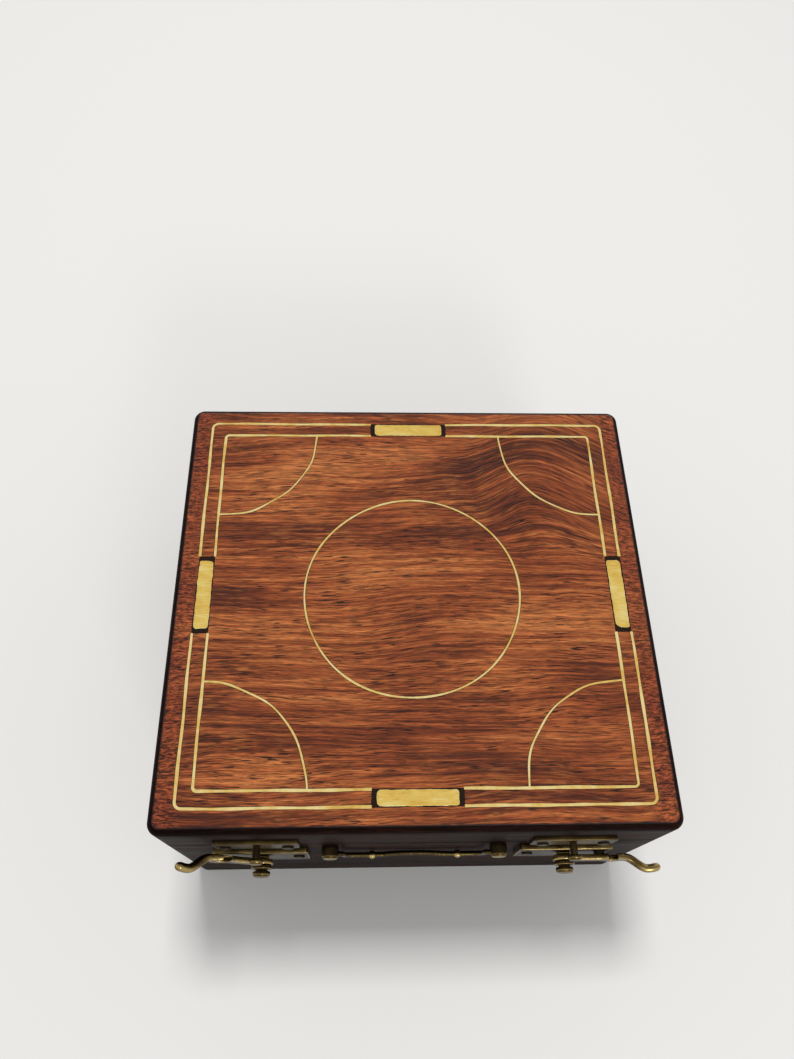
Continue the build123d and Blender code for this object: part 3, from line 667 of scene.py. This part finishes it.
def handCutOutline(radii, seed, wander):
    # a rounded rectangle with its own radius at each corner, then a small wander inwards and outwards.
    # Gives the outline, the directions into it, and a smaller even one that lies well inside it.
    arcs = cornerArcs(*plates["half"], radii, 25)
    outline = np.concatenate(arcs + [arcs[0][:1]])
    length = lengthAlong(outline)
    run = np.linspace(0, 1, 260, endpoint=False)
    outline = pointsAt(outline, length, run * length[-1])
    inward = inwardNormals(outline)
    cut = outline - inward * (wander * wobble(run, seed, plates["waves"]))[:, None]
    return cut, inward, outline * plates["faceShare"]


plateCuts = {
    # side of the lid, corner radii, seed and wander
    "front": ((0, -1), [1.3, 1.8, 1.6, 1.0], 5, 0.2),
    "rear": ((0, 1), [1.2, 1.0, 1.7, 1.4], 6, 0.2),
    "left": ((-1, 0), [1.1, 1.5, 1.0, 1.9], 7, 0.34),
    "right": ((1, 0), [1.0, 2.6, 1.1, 1.8], 8, 0.24),
}
band = np.array([outerX + innerX, outerY + innerY]) / 2
pastX, pastY = plates["bedPast"]
beds = []
for place, (toSide, radii, seed, wander) in plateCuts.items():
    outline, inward, middle = handCutOutline(radii, seed, wander)
    bed = roundedRectangle(plates["half"][0] + pastX, plates["half"][1] + pastY, plates["bedCorner"], 6, 20)
    run = np.linspace(0, 1, len(bed), endpoint=False)
    stray = plates["bedWander"] * wobble(run, seed + 20, plates["bedWaves"])
    bed = bed - inwardNormals(bed) * stray[:, None]
    if toSide[0]:
        outline, inward, middle, bed = [flat[:, ::-1] * [-1, 1] for flat in (outline, inward, middle, bed)]
    centre = band * toSide
    rings, wear = slabRings(outline + centre, plates["deep"], plates["round"], 4, inward)
    face = lifted(middle + centre, plates["deep"])
    rings, wear = np.concatenate([face[None], rings]), np.concatenate([0 * wear[:1], wear])
    rings[..., 2] += top - plates["deep"] + plates["proud"]
    makePiece(place + "_inlay_plate", [rings], plateBrass, "lid", [wear])
    rings = slabRings(bed + centre, plates["deep"], plates["bedRound"], 3)[0]
    rings[..., 2] += top - plates["deep"] + strings["glueUp"]
    beds.append(rings)
makePiece("inlay_mastic", beds + glueLines, mastic, "lid")
print("lid inlay made")


# Latch and catch plates: thick brass plates with filed edges

# the catch plates' edges are drawn duller than the latch plates' as painted shade
frontPlates = {"corner": 1.5, "round": 0.45, "uneven": 0.1, "waves": [3, 7, 12],
               "latchWear": 0.7, "catchWear": 0.3, "middleWear": 0.5}
for kind, body in (("latch", "case"), ("catch", "lid")):
    for side, seed in (("right", 17), ("left", 16)):
        node = f"{side}_{kind}_plate"
        low, high = boxOf(node)
        half, middle = (high - low) / 2, (high + low) / 2
        outline = roundedRectangle(half[0], half[2], frontPlates["corner"], 8, 16)
        run = np.linspace(0, 1, len(outline), endpoint=False)
        cut = frontPlates["uneven"] * (1 + wobble(run, seed, frontPlates["waves"]))
        outline = outline + inwardNormals(outline) * cut[:, None]
        rings, wear = slabRings(outline, frontFace - low[1], frontPlates["round"])
        makePiece(node, [onFront(rings, middle[0], middle[2])], agedBrass, body,
                  [wear * frontPlates[kind + "Wear"]], poleWear=frontPlates["middleWear"])


# Turned studs, knobs and posts: the height of the axis, how bright the end is drawn (rubbing, and on the
# handle posts painted highlight), and the profile as radius and distance out of the front face, from the
# shank outwards

knob = {
    "z": 72.0, "endRubAndHighlight": 0.25,
    "profile": [(0.0, -6.0), (1.5, -6.0), (1.5, 2.6), (2.9, 2.6), (2.9, 3.45), (1.5, 3.45), (1.5, 6.15),
                (4.2, 6.15), (4.2, 7.55), (2.4, 7.55), (2.4, 8.25), (3.5, 8.35), (3.6, 9.6),
                (2.9, 10.45), (1.6, 10.65), (0.0, 10.7)],
}
catch = {
    "z": 92.0, "endRubAndHighlight": 0.1,
    "profile": [(0.0, -6.0), (1.5, -6.0), (1.5, 6.3), (2.8, 6.3), (2.8, 7.2), (2.1, 8.0), (0.9, 8.2),
                (0.0, 8.22)],
}
# the handle post: its end is drawn bright, partly rubbing and partly a painted highlight
post = {
    "z": 80.0, "endRubAndHighlight": 0.75,
    "profile": [(0.0, -13.6), (1.5, -13.6), (1.5, 0.0), (3.4, 0.0), (3.45, 1.2), (3.3, 4.1), (2.7, 5.0),
                (1.4, 5.2), (0.0, 5.22)],
}
turning = {"cut": 0.3, "step": 0.18, "rubReach": 0.35, "endDepth": 0.45}


def turnedProfile(corners, endRubAndHighlight):
    # The profile at even steps of its length, with how rubbed each point is: exp(-(d / reach)^2) at d from
    # a corner that stands out, less the same from one that lies in, which holds dirt.
    p = np.array(corners, float)
    before, after = p[1:-1] - p[:-2], p[2:] - p[1:-1]
    bend = before[:, 0] * after[:, 1] - before[:, 1] * after[:, 0]
    bend /= np.linalg.norm(before, axis=1) * np.linalg.norm(after, axis=1)
    soft = softCorners(p, turning["cut"])
    length = lengthAlong(soft)
    even = np.linspace(0, length[-1], int(length[-1] / turning["step"]))
    line = pointsAt(soft, length, np.unique(np.concatenate([even, length])))
    away = np.linalg.norm(line[:, None] - p[None, 1:-1], axis=2)
    rub = (np.exp(-(away / turning["rubReach"]) ** 2) * np.clip(bend, -0.5, 1)).sum(1)
    # the end is drawn at least this bright: rubbing, and on the handle posts a painted highlight
    atEnd = line[:, 1] > line[:, 1].max() - turning["endDepth"]
    return line, np.maximum(np.clip(rub, -0.4, 1), endRubAndHighlight * atEnd)


for kind, look, body in (("hook_pivot", knob, "case"), ("catch_stud", catch, "lid"),
                         ("handle_post", post, "case")):
    for side in ("left", "right"):
        low, high = boxOf(f"{side}_{kind}")
        line, rub = turnedProfile(look["profile"], look["endRubAndHighlight"])
        rings = lathe(line, (low[0] + high[0]) / 2, look["z"])
        makePiece(f"{side}_{kind}", [rings], agedBrass, body,
                  [np.broadcast_to(rub[:, None], rings.shape[:2])])


# Hooks: a bar whose height, thickness and distance from the case change along its length.
# Each section is a squarish round, |y|^n + |z|^n = 1, n falling nearly to a circle's 2 in the tail.

hook = {
    # half heights from the pivot to the tip, the places where they change, and the notch in the eye
    "hub": 4.6, "arm": 2.9, "waist": 2.6, "waistAt": 9.5, "waistSpread": 3.5, "eye": 5.0, "reach": 20.0,
    "notch": 1.95, "neck": 1.75, "neckSpan": (23.5, 30.5), "tip": 2.0, "tipSpan": (32.5, 37.5),
    "length": 37.5, "least": 0.25,
    # thickness, distance from the case, and 2 / n of the section
    "thick": 2.4, "tailThick": 3.3, "thickSpan": (22.5, 30.0), "leastThick": 0.2, "hubThin": 0.25,
    "standoff": 3.6, "rise": 4.4, "bendSpan": (25.2, 34.2), "return": 1.3, "returnSpan": (34.5, 42.5),
    "armPower": 0.42, "tailPower": 0.92, "roundSpan": (23.0, 31.0), "notchLean": 4.0,
    # how rubbed the edges are, how much lighter the top is (rubbing and painted highlight), and how much
    # darker the bend is (painted shade)
    "edgeRub": 0.6, "topRubAndHighlight": 0.45, "bendShadeShare": 0.6, "bendShadeAt": 29.0, "bendShadeSpread": 3.0,
    "leftTilt": math.radians(43.0),
}


def smoothStep(x, low, high):
    t = np.clip((x - low) / (high - low), 0, 1)
    return t * t * (3 - 2 * t)


def bump(x, middle, spread):
    # exp(-((x - middle) / spread)^2)
    return np.exp(-((x - middle) / spread) ** 2)


def hookRings(sign, x0, z0, tilt):
    h = hook
    n0, n1 = h["reach"] - h["notch"], h["reach"] + h["notch"]
    x = np.concatenate([
        -h["hub"] * np.cos(np.linspace(0.08, quarter, 12)), np.linspace(0.5, n0 - 0.5, 40),
        [n0 - 0.16, n0 - 0.04, n0 + 0.02],
        n0 + h["notch"] * (1 - np.cos(np.linspace(0.25, math.pi - 0.25, 15))),
        [n1 - 0.02, n1 + 0.04, n1 + 0.16], np.linspace(n1 + 0.4, h["length"] - 0.2, 44),
        h["length"] + h["tip"] * np.sin(np.linspace(0, quarter * 0.97, 8))])

    def circle(middle, radius):
        return np.sqrt(np.clip(radius ** 2 - (x - middle) ** 2, 0, None))

    arm = h["arm"] - (h["arm"] - h["waist"]) * bump(x, h["waistAt"], h["waistSpread"])
    arm = arm + (h["neck"] - arm) * smoothStep(x, *h["neckSpan"])
    arm = arm + (h["tip"] - h["neck"]) * smoothStep(x, *h["tipSpan"])
    arm = np.where(x < 0, 0.0, arm)
    tall = (circle(0, h["hub"]) ** 6 + arm ** 6 + circle(h["reach"], h["eye"]) ** 6) ** (1 / 6)
    ending = np.sqrt(np.clip(1 - ((x - h["length"]) / h["tip"]) ** 2, 0, 1))
    tall = np.maximum(np.where(x > h["length"], h["tip"] * ending, tall), h["least"])
    low, high = -tall, np.where((x > n0) & (x < n1), -circle(h["reach"], h["notch"]), tall)
    thick = h["thick"] + (h["tailThick"] - h["thick"]) * smoothStep(x, *h["thickSpan"])
    thick = np.where(x > h["length"], h["tailThick"] * np.maximum(ending, h["leastThick"]), thick)
    thick = thick * np.where(x < 0, 1 - h["hubThin"] * (np.abs(x) / h["hub"]) ** 6, 1.0)
    out = h["standoff"] + h["thick"] / 2 + h["rise"] * smoothStep(x, *h["bendSpan"])
    out = out - h["return"] * smoothStep(x, *h["returnSpan"])
    slope = np.gradient(out, x)
    slope = slope / np.sqrt(1 + slope ** 2)
    straight = np.sqrt(1 - slope ** 2)
    a = roundAngles(36)
    power = h["armPower"] + (h["tailPower"] - h["armPower"]) * smoothStep(x, *h["roundSpan"])[:, None]
    across, along = [np.sign(f(a)) * np.abs(f(a)) ** power for f in (np.cos, np.sin)]
    depth = across * thick[:, None] / 2
    z = (low + high)[:, None] / 2 + along * (high - low)[:, None] / 2
    px = x[:, None] - slope[:, None] * depth
    py = out[:, None] + straight[:, None] * depth
    # the notch follows the swing, so what lies above the arm there leans towards the pivot
    lean = np.clip(z, 0, None) ** 2 / (2 * h["reach"])
    px = px - lean * bump(x[:, None], h["reach"], h["notchLean"])
    edge = (2 * np.abs(np.cos(a) * np.sin(a)))[None] ** 0.5
    # the bend is drawn darker as painted shade, and the top lighter as painted highlight on top of its
    # rubbing
    bendShade = 1 - h["bendShadeShare"] * bump(x[:, None], h["bendShadeAt"], h["bendShadeSpread"])
    rubbed = np.clip(h["edgeRub"] * edge + h["topRubAndHighlight"] * np.clip(np.sin(a), 0, 1)[None], 0, 1) * bendShade
    c, s = math.cos(tilt), math.sin(tilt)
    return onFront(np.stack([sign * (px * c - z * s), px * s + z * c, py], -1), x0, z0), rubbed


for side, sign, tilt in (("right", 1, 0.0), ("left", -1, hook["leftTilt"])):
    low, high = boxOf(f"{side}_hook_pivot")
    rings, rubbed = hookRings(sign, (low[0] + high[0]) / 2, knob["z"], tilt)
    makePiece(f"{side}_hook", [rings], agedBrass, f"{side}_hook", [rubbed], sharp=50.0)


# The drop handle: wire bent to shape, with a bead turned on each side of the grip

bail = {
    "wire": 1.0, "pinEnd": 37.1, "leg": 28.7, "drop": 13.0, "bend": 1.6, "corner": 4.0, "bead": 1.65,
    "beadsAt": (-16.9, 18.4), "axisOut": 3.0, "axisUp": post["z"], "hang": math.radians(4.854),
    # unevenness of the wire, its ends tapered over two points, and the grip pressed back between the beads
    "uneven": 0.04, "waves": [1, 2.3, 5], "waveUnit": 40.0, "endPoints": 2.0, "endShare": 0.2,
    "gripBand": 0.3, "push": 0.55, "pushReach": 11.0,
    "beadWear": 0.8, "wireWear": 0.05, "sideWear": 0.25,
}


def bailRings():
    b = bail

    def arc(cx, cy, r, start, end, count=9):
        a = np.linspace(start, end, count)
        return pathOf(cx + r * np.cos(a), cy + r * np.sin(a))

    half = np.concatenate([
        pathOf(np.linspace(b["pinEnd"], b["leg"] + b["bend"], 8), 0),
        arc(b["leg"] + b["bend"], -b["bend"], b["bend"], quarter, 2 * quarter)[1:],
        pathOf(b["leg"], np.linspace(-b["bend"], -b["drop"] + b["corner"], 12)[1:-1]),
        arc(b["leg"] - b["corner"], -b["drop"] + b["corner"], b["corner"], 0, -quarter),
        pathOf(np.linspace(b["leg"] - b["corner"], 0, 101)[1:], -b["drop"])])
    path = np.concatenate([half, (half * [-1, 1])[::-1][1:]])
    side, count = sideOf(path), np.arange(len(path))
    onGrip = path[:, 1] < -b["drop"] + b["gripBand"]
    fromBead = np.min([np.abs(path[:, 0] - x) for x in b["beadsAt"]], axis=0)
    radius = b["wire"] * (1 + b["uneven"] * wobble(count / b["waveUnit"], 3, b["waves"]))
    swell = np.sqrt(np.clip(b["bead"] ** 2 - fromBead ** 2, 0, None))
    radius = np.where(onGrip, np.maximum(radius, swell), radius)
    for fromEnd in (count, count[::-1]):
        radius = radius * np.clip(fromEnd / b["endPoints"], b["endShare"], 1)
    push = b["push"] * np.exp(-(path[:, 0] / b["pushReach"]) ** 4) * onGrip
    a = roundAngles(20)
    flat = path[:, None] + side[:, None] * (radius[:, None] * np.cos(a))[..., None]
    down, out = flat[..., 1], radius[:, None] * np.sin(a) - push[:, None]
    c, s = math.cos(b["hang"]), math.sin(b["hang"])
    z = b["axisUp"] + down * c + out * s
    y = frontFace - b["axisOut"] - down * s - out * c
    rubbed = np.where(radius > 1.15 * b["wire"], b["beadWear"], b["wireWear"])[:, None]
    return np.stack([flat[..., 0], y, z], -1), np.clip(rubbed + b["sideWear"] * np.cos(a) ** 2, 0, 1)


rings, rubbed = bailRings()
makePiece("handle_bail", [rings], agedBrass, "handle", [rubbed])
print("latches and handle made")


# Felt: sheets cut to fit round the blocks, glued down flat, with a slightly lumpy face

sheets = {
    "thick": 1.4, "cloth": 1.2, "lump": 0.07, "thinning": 0.45, "edgeReach": 0.9,
    # half sizes of a leg block's hole, and the place and half sizes of the keeper's
    "blockHole": (18.4, 13.4), "keeperHole": (0.0, 12.0, 27.4, 13.4),
    "keeperCorner": 1.5, "keeperRound": 0.6, "padRadius": 6.1, "padRound": 0.5,
}
blocks = {"left": (-56.0, -24.0), "right": (56.0, -24.0), "rear": (0.0, 56.0)}


def feltSheet(node, body, z, faceUp, holes):
    # A grid whose lines follow the cut-outs. Its face stands at the thickness, with lumps made of crossing
    # sines, less thinning exp(-d / reach) at d from a cut edge.
    halves = boxOf(node)[1][:2]
    lines = []
    for axis, half in enumerate(halves):
        cuts = [v for hole in holes for v in (hole[axis] - hole[axis + 2], hole[axis] + hole[axis + 2])]
        lines.append(np.unique(np.round(np.concatenate([np.linspace(-half, half, int(half)), cuts]), 3)))
    x, y = np.meshgrid(*lines, indexing="ij")
    kept = np.ones((len(lines[0]) - 1, len(lines[1]) - 1), bool)
    midX, midY = [(line[:-1] + line[1:]) / 2 for line in lines]
    edge = np.minimum(halves[0] - np.abs(x), halves[1] - np.abs(y))
    for cx, cy, hx, hy in holes:
        kept &= ~((np.abs(midX - cx) < hx)[:, None] & (np.abs(midY - cy) < hy)[None])
        edge = np.minimum(edge, np.maximum(np.abs(x - cx) - hx, np.abs(y - cy) - hy))
    lumps = np.sin(x / 7.1 + 1.3 * np.sin(y / 11.0)) + np.sin(y / 6.3 + 1.7 * np.sin(x / 9.0))
    thinning = sheets["thinning"] * np.exp(-np.abs(edge) / sheets["edgeReach"])
    height = z + (1 if faceUp else -1) * (sheets["thick"] + sheets["lump"] * lumps - thinning)
    i, j = np.nonzero(kept)
    size = len(lines[1])
    quads = np.stack([i * size + j, (i + 1) * size + j, (i + 1) * size + j + 1, i * size + j + 1], -1)
    # only the points that a face uses
    used, order = np.unique(quads if faceUp else quads[:, ::-1], return_inverse=True)
    points = lifted(pathOf(x, y), height).reshape(-1, 3)[used]
    piece = newPiece(node, newMesh(node, points, order.reshape(-1, 4).tolist(), felt), body)
    solid = piece.modifiers.new("cloth", "SOLIDIFY")
    solid.thickness, solid.offset = mm * sheets["cloth"], -1.0


feltSheet("floor_felt", "case", boxOf("floor_felt")[0][2], True,
          [(*place, *sheets["blockHole"]) for place in blocks.values()])
feltSheet("lid_felt", "lid", boxOf("lid_felt")[1][2], False, [sheets["keeperHole"]])

low, high = boxOf("keeper_felt")
half, middle = (high - low) / 2, (high + low) / 2
outline = roundedRectangle(half[0], half[1], sheets["keeperCorner"], 8, 12) + middle[:2]
rings = slabRings(outline, high[2] - low[2], sheets["keeperRound"])[0]
rings[..., 2] = high[2] - rings[..., 2]
keeperPad = makePiece("keeper_felt", [rings], felt, "lid")

low, high = boxOf("socket_felts")
radius = sheets["padRadius"]
a = roundAngles(40)
disc = radius * pathOf(np.cos(a), np.sin(a))
pads = []
for place in blocks.values():
    rings = slabRings(disc + place, high[2] - low[2], sheets["padRound"])[0]
    rings[..., 2] += low[2]
    pads.append(rings)
socketPads = makePiece("socket_felts", pads, felt, "case")
print("felt made")


# Finishes for the CAD pieces whose shape is kept

kept = {
    wallWood: [f"{half}_{side}_wall" for half in ("base", "lid") for side in ("front", "rear")]
    + ["bottom_board"],
    sideWallWood: [f"{half}_{side}_wall" for half in ("base", "lid") for side in ("left", "right")],
    blockWood: ["left_leg_block", "right_leg_block", "rear_leg_block", "lid_keeper"],
    agedBrass: ["latch_plate_screws", "catch_plate_screws", "handle_washers", "handle_nuts",
                "hinge_base_screws", "hinge_lid_screws"],
    hingeBrass: [f"{side}_hinge_{part}" for side in ("left", "right")
                 for part in ("base_leaf", "lid_leaf", "pin")],
}
for material, names in kept.items():
    for name in names:
        data = nodes[name].data
        data.materials.clear()
        data.materials.append(material)
print("finishes set on", sum(len(names) for names in kept.values()), "kept nodes")


# Floor, lamps and camera

def floorFinish():
    # matt painted board
    material, tree = newMaterial("paleFloor")
    shader = addNode(tree, "BsdfPrincipled", {
        "Base Color": linear("#e4e2de"), "Roughness": 0.9, "Specular IOR Level": 0.1})
    addNode(tree, "OutputMaterial", {"Surface": shader})
    return material


floorMesh = bpy.data.meshes.new("floor")
floorMesh.from_pydata([(-3, -3, 0), (3, -3, 0), (3, 3, 0), (-3, 3, 0)], [], [(0, 1, 2, 3)])
floorMesh.materials.append(floorFinish())
floor = bpy.data.objects.new("floor", floorMesh)
scene.collection.objects.link(floor)

# the camera, reflections and glass see a brighter world than the one that lights the box
world = bpy.data.worlds.new("studio")
scene.world = world
world.use_nodes = True
sky = world.node_tree
sky.nodes.clear()
rays = addNode(sky, "LightPath").outputs
mirrored = addNode(sky, "Math", [rays["Is Glossy Ray"], rays["Is Transmission Ray"]], operation="MAXIMUM")
seen = addNode(sky, "Math", [rays["Is Camera Ray"], mirrored], operation="MAXIMUM")
lit = addNode(sky, "Background", {"Color": linear("#f4f6fa"), "Strength": 0.5})
shown = addNode(sky, "Background", {"Color": linear("#eceef0"), "Strength": 0.9})
addNode(sky, "OutputWorld", {"Surface": addNode(sky, "MixShader", [seen, lit, shown])})

lamps = {
    # name: place, aimed at, side of the square in metres, watts. The key hangs behind and above.
    "key": ((-0.05, 0.7, 2.4), (0, 0, 0.1), 0.5, 36.0),
    "fill": ((0.35, -1.3, 0.9), (0, 0, 0.07), 0.4, 5.0),
}
for name, (place, target, size, power) in lamps.items():
    lamp = bpy.data.lights.new(name, "AREA")
    lamp.size, lamp.energy = size, power
    holder = bpy.data.objects.new(name, lamp)
    scene.collection.objects.link(holder)
    aim = np.array(target) - np.array(place)
    holder.matrix_world = Matrix.Translation(place) @ (
        Vector(aim).to_track_quat("-Z", "Y").to_matrix().to_4x4())
    holder.visible_glossy = name != "key"

eye = {
    # place in metres, degrees below level, to the right of +Y and rolled, and focal length over height
    "place": (-0.01932, -0.14015, 0.43403), "down": 61.873, "yaw": 4.461, "roll": 3.971,
    "focalPixels": 832.05, "tallPixels": 1059,
}
cameraData = bpy.data.cameras.new("camera")
cameraData.sensor_width = 36.0
cameraData.lens = eye["focalPixels"] / eye["tallPixels"] * cameraData.sensor_width
cameraData.clip_start, cameraData.clip_end = 0.01, 20.0
camera = bpy.data.objects.new("camera", cameraData)
scene.collection.objects.link(camera)
# rolled, raised from straight down, turned to the right of +Y, then placed
camera.matrix_world = Matrix.Translation(eye["place"])
for degrees, axis in ((-eye["yaw"], "Z"), (90 - eye["down"], "X"), (eye["roll"], "Z")):
    camera.matrix_world = camera.matrix_world @ Matrix.Rotation(math.radians(degrees), 4, axis)
scene.camera = camera
print("camera and lamps set")
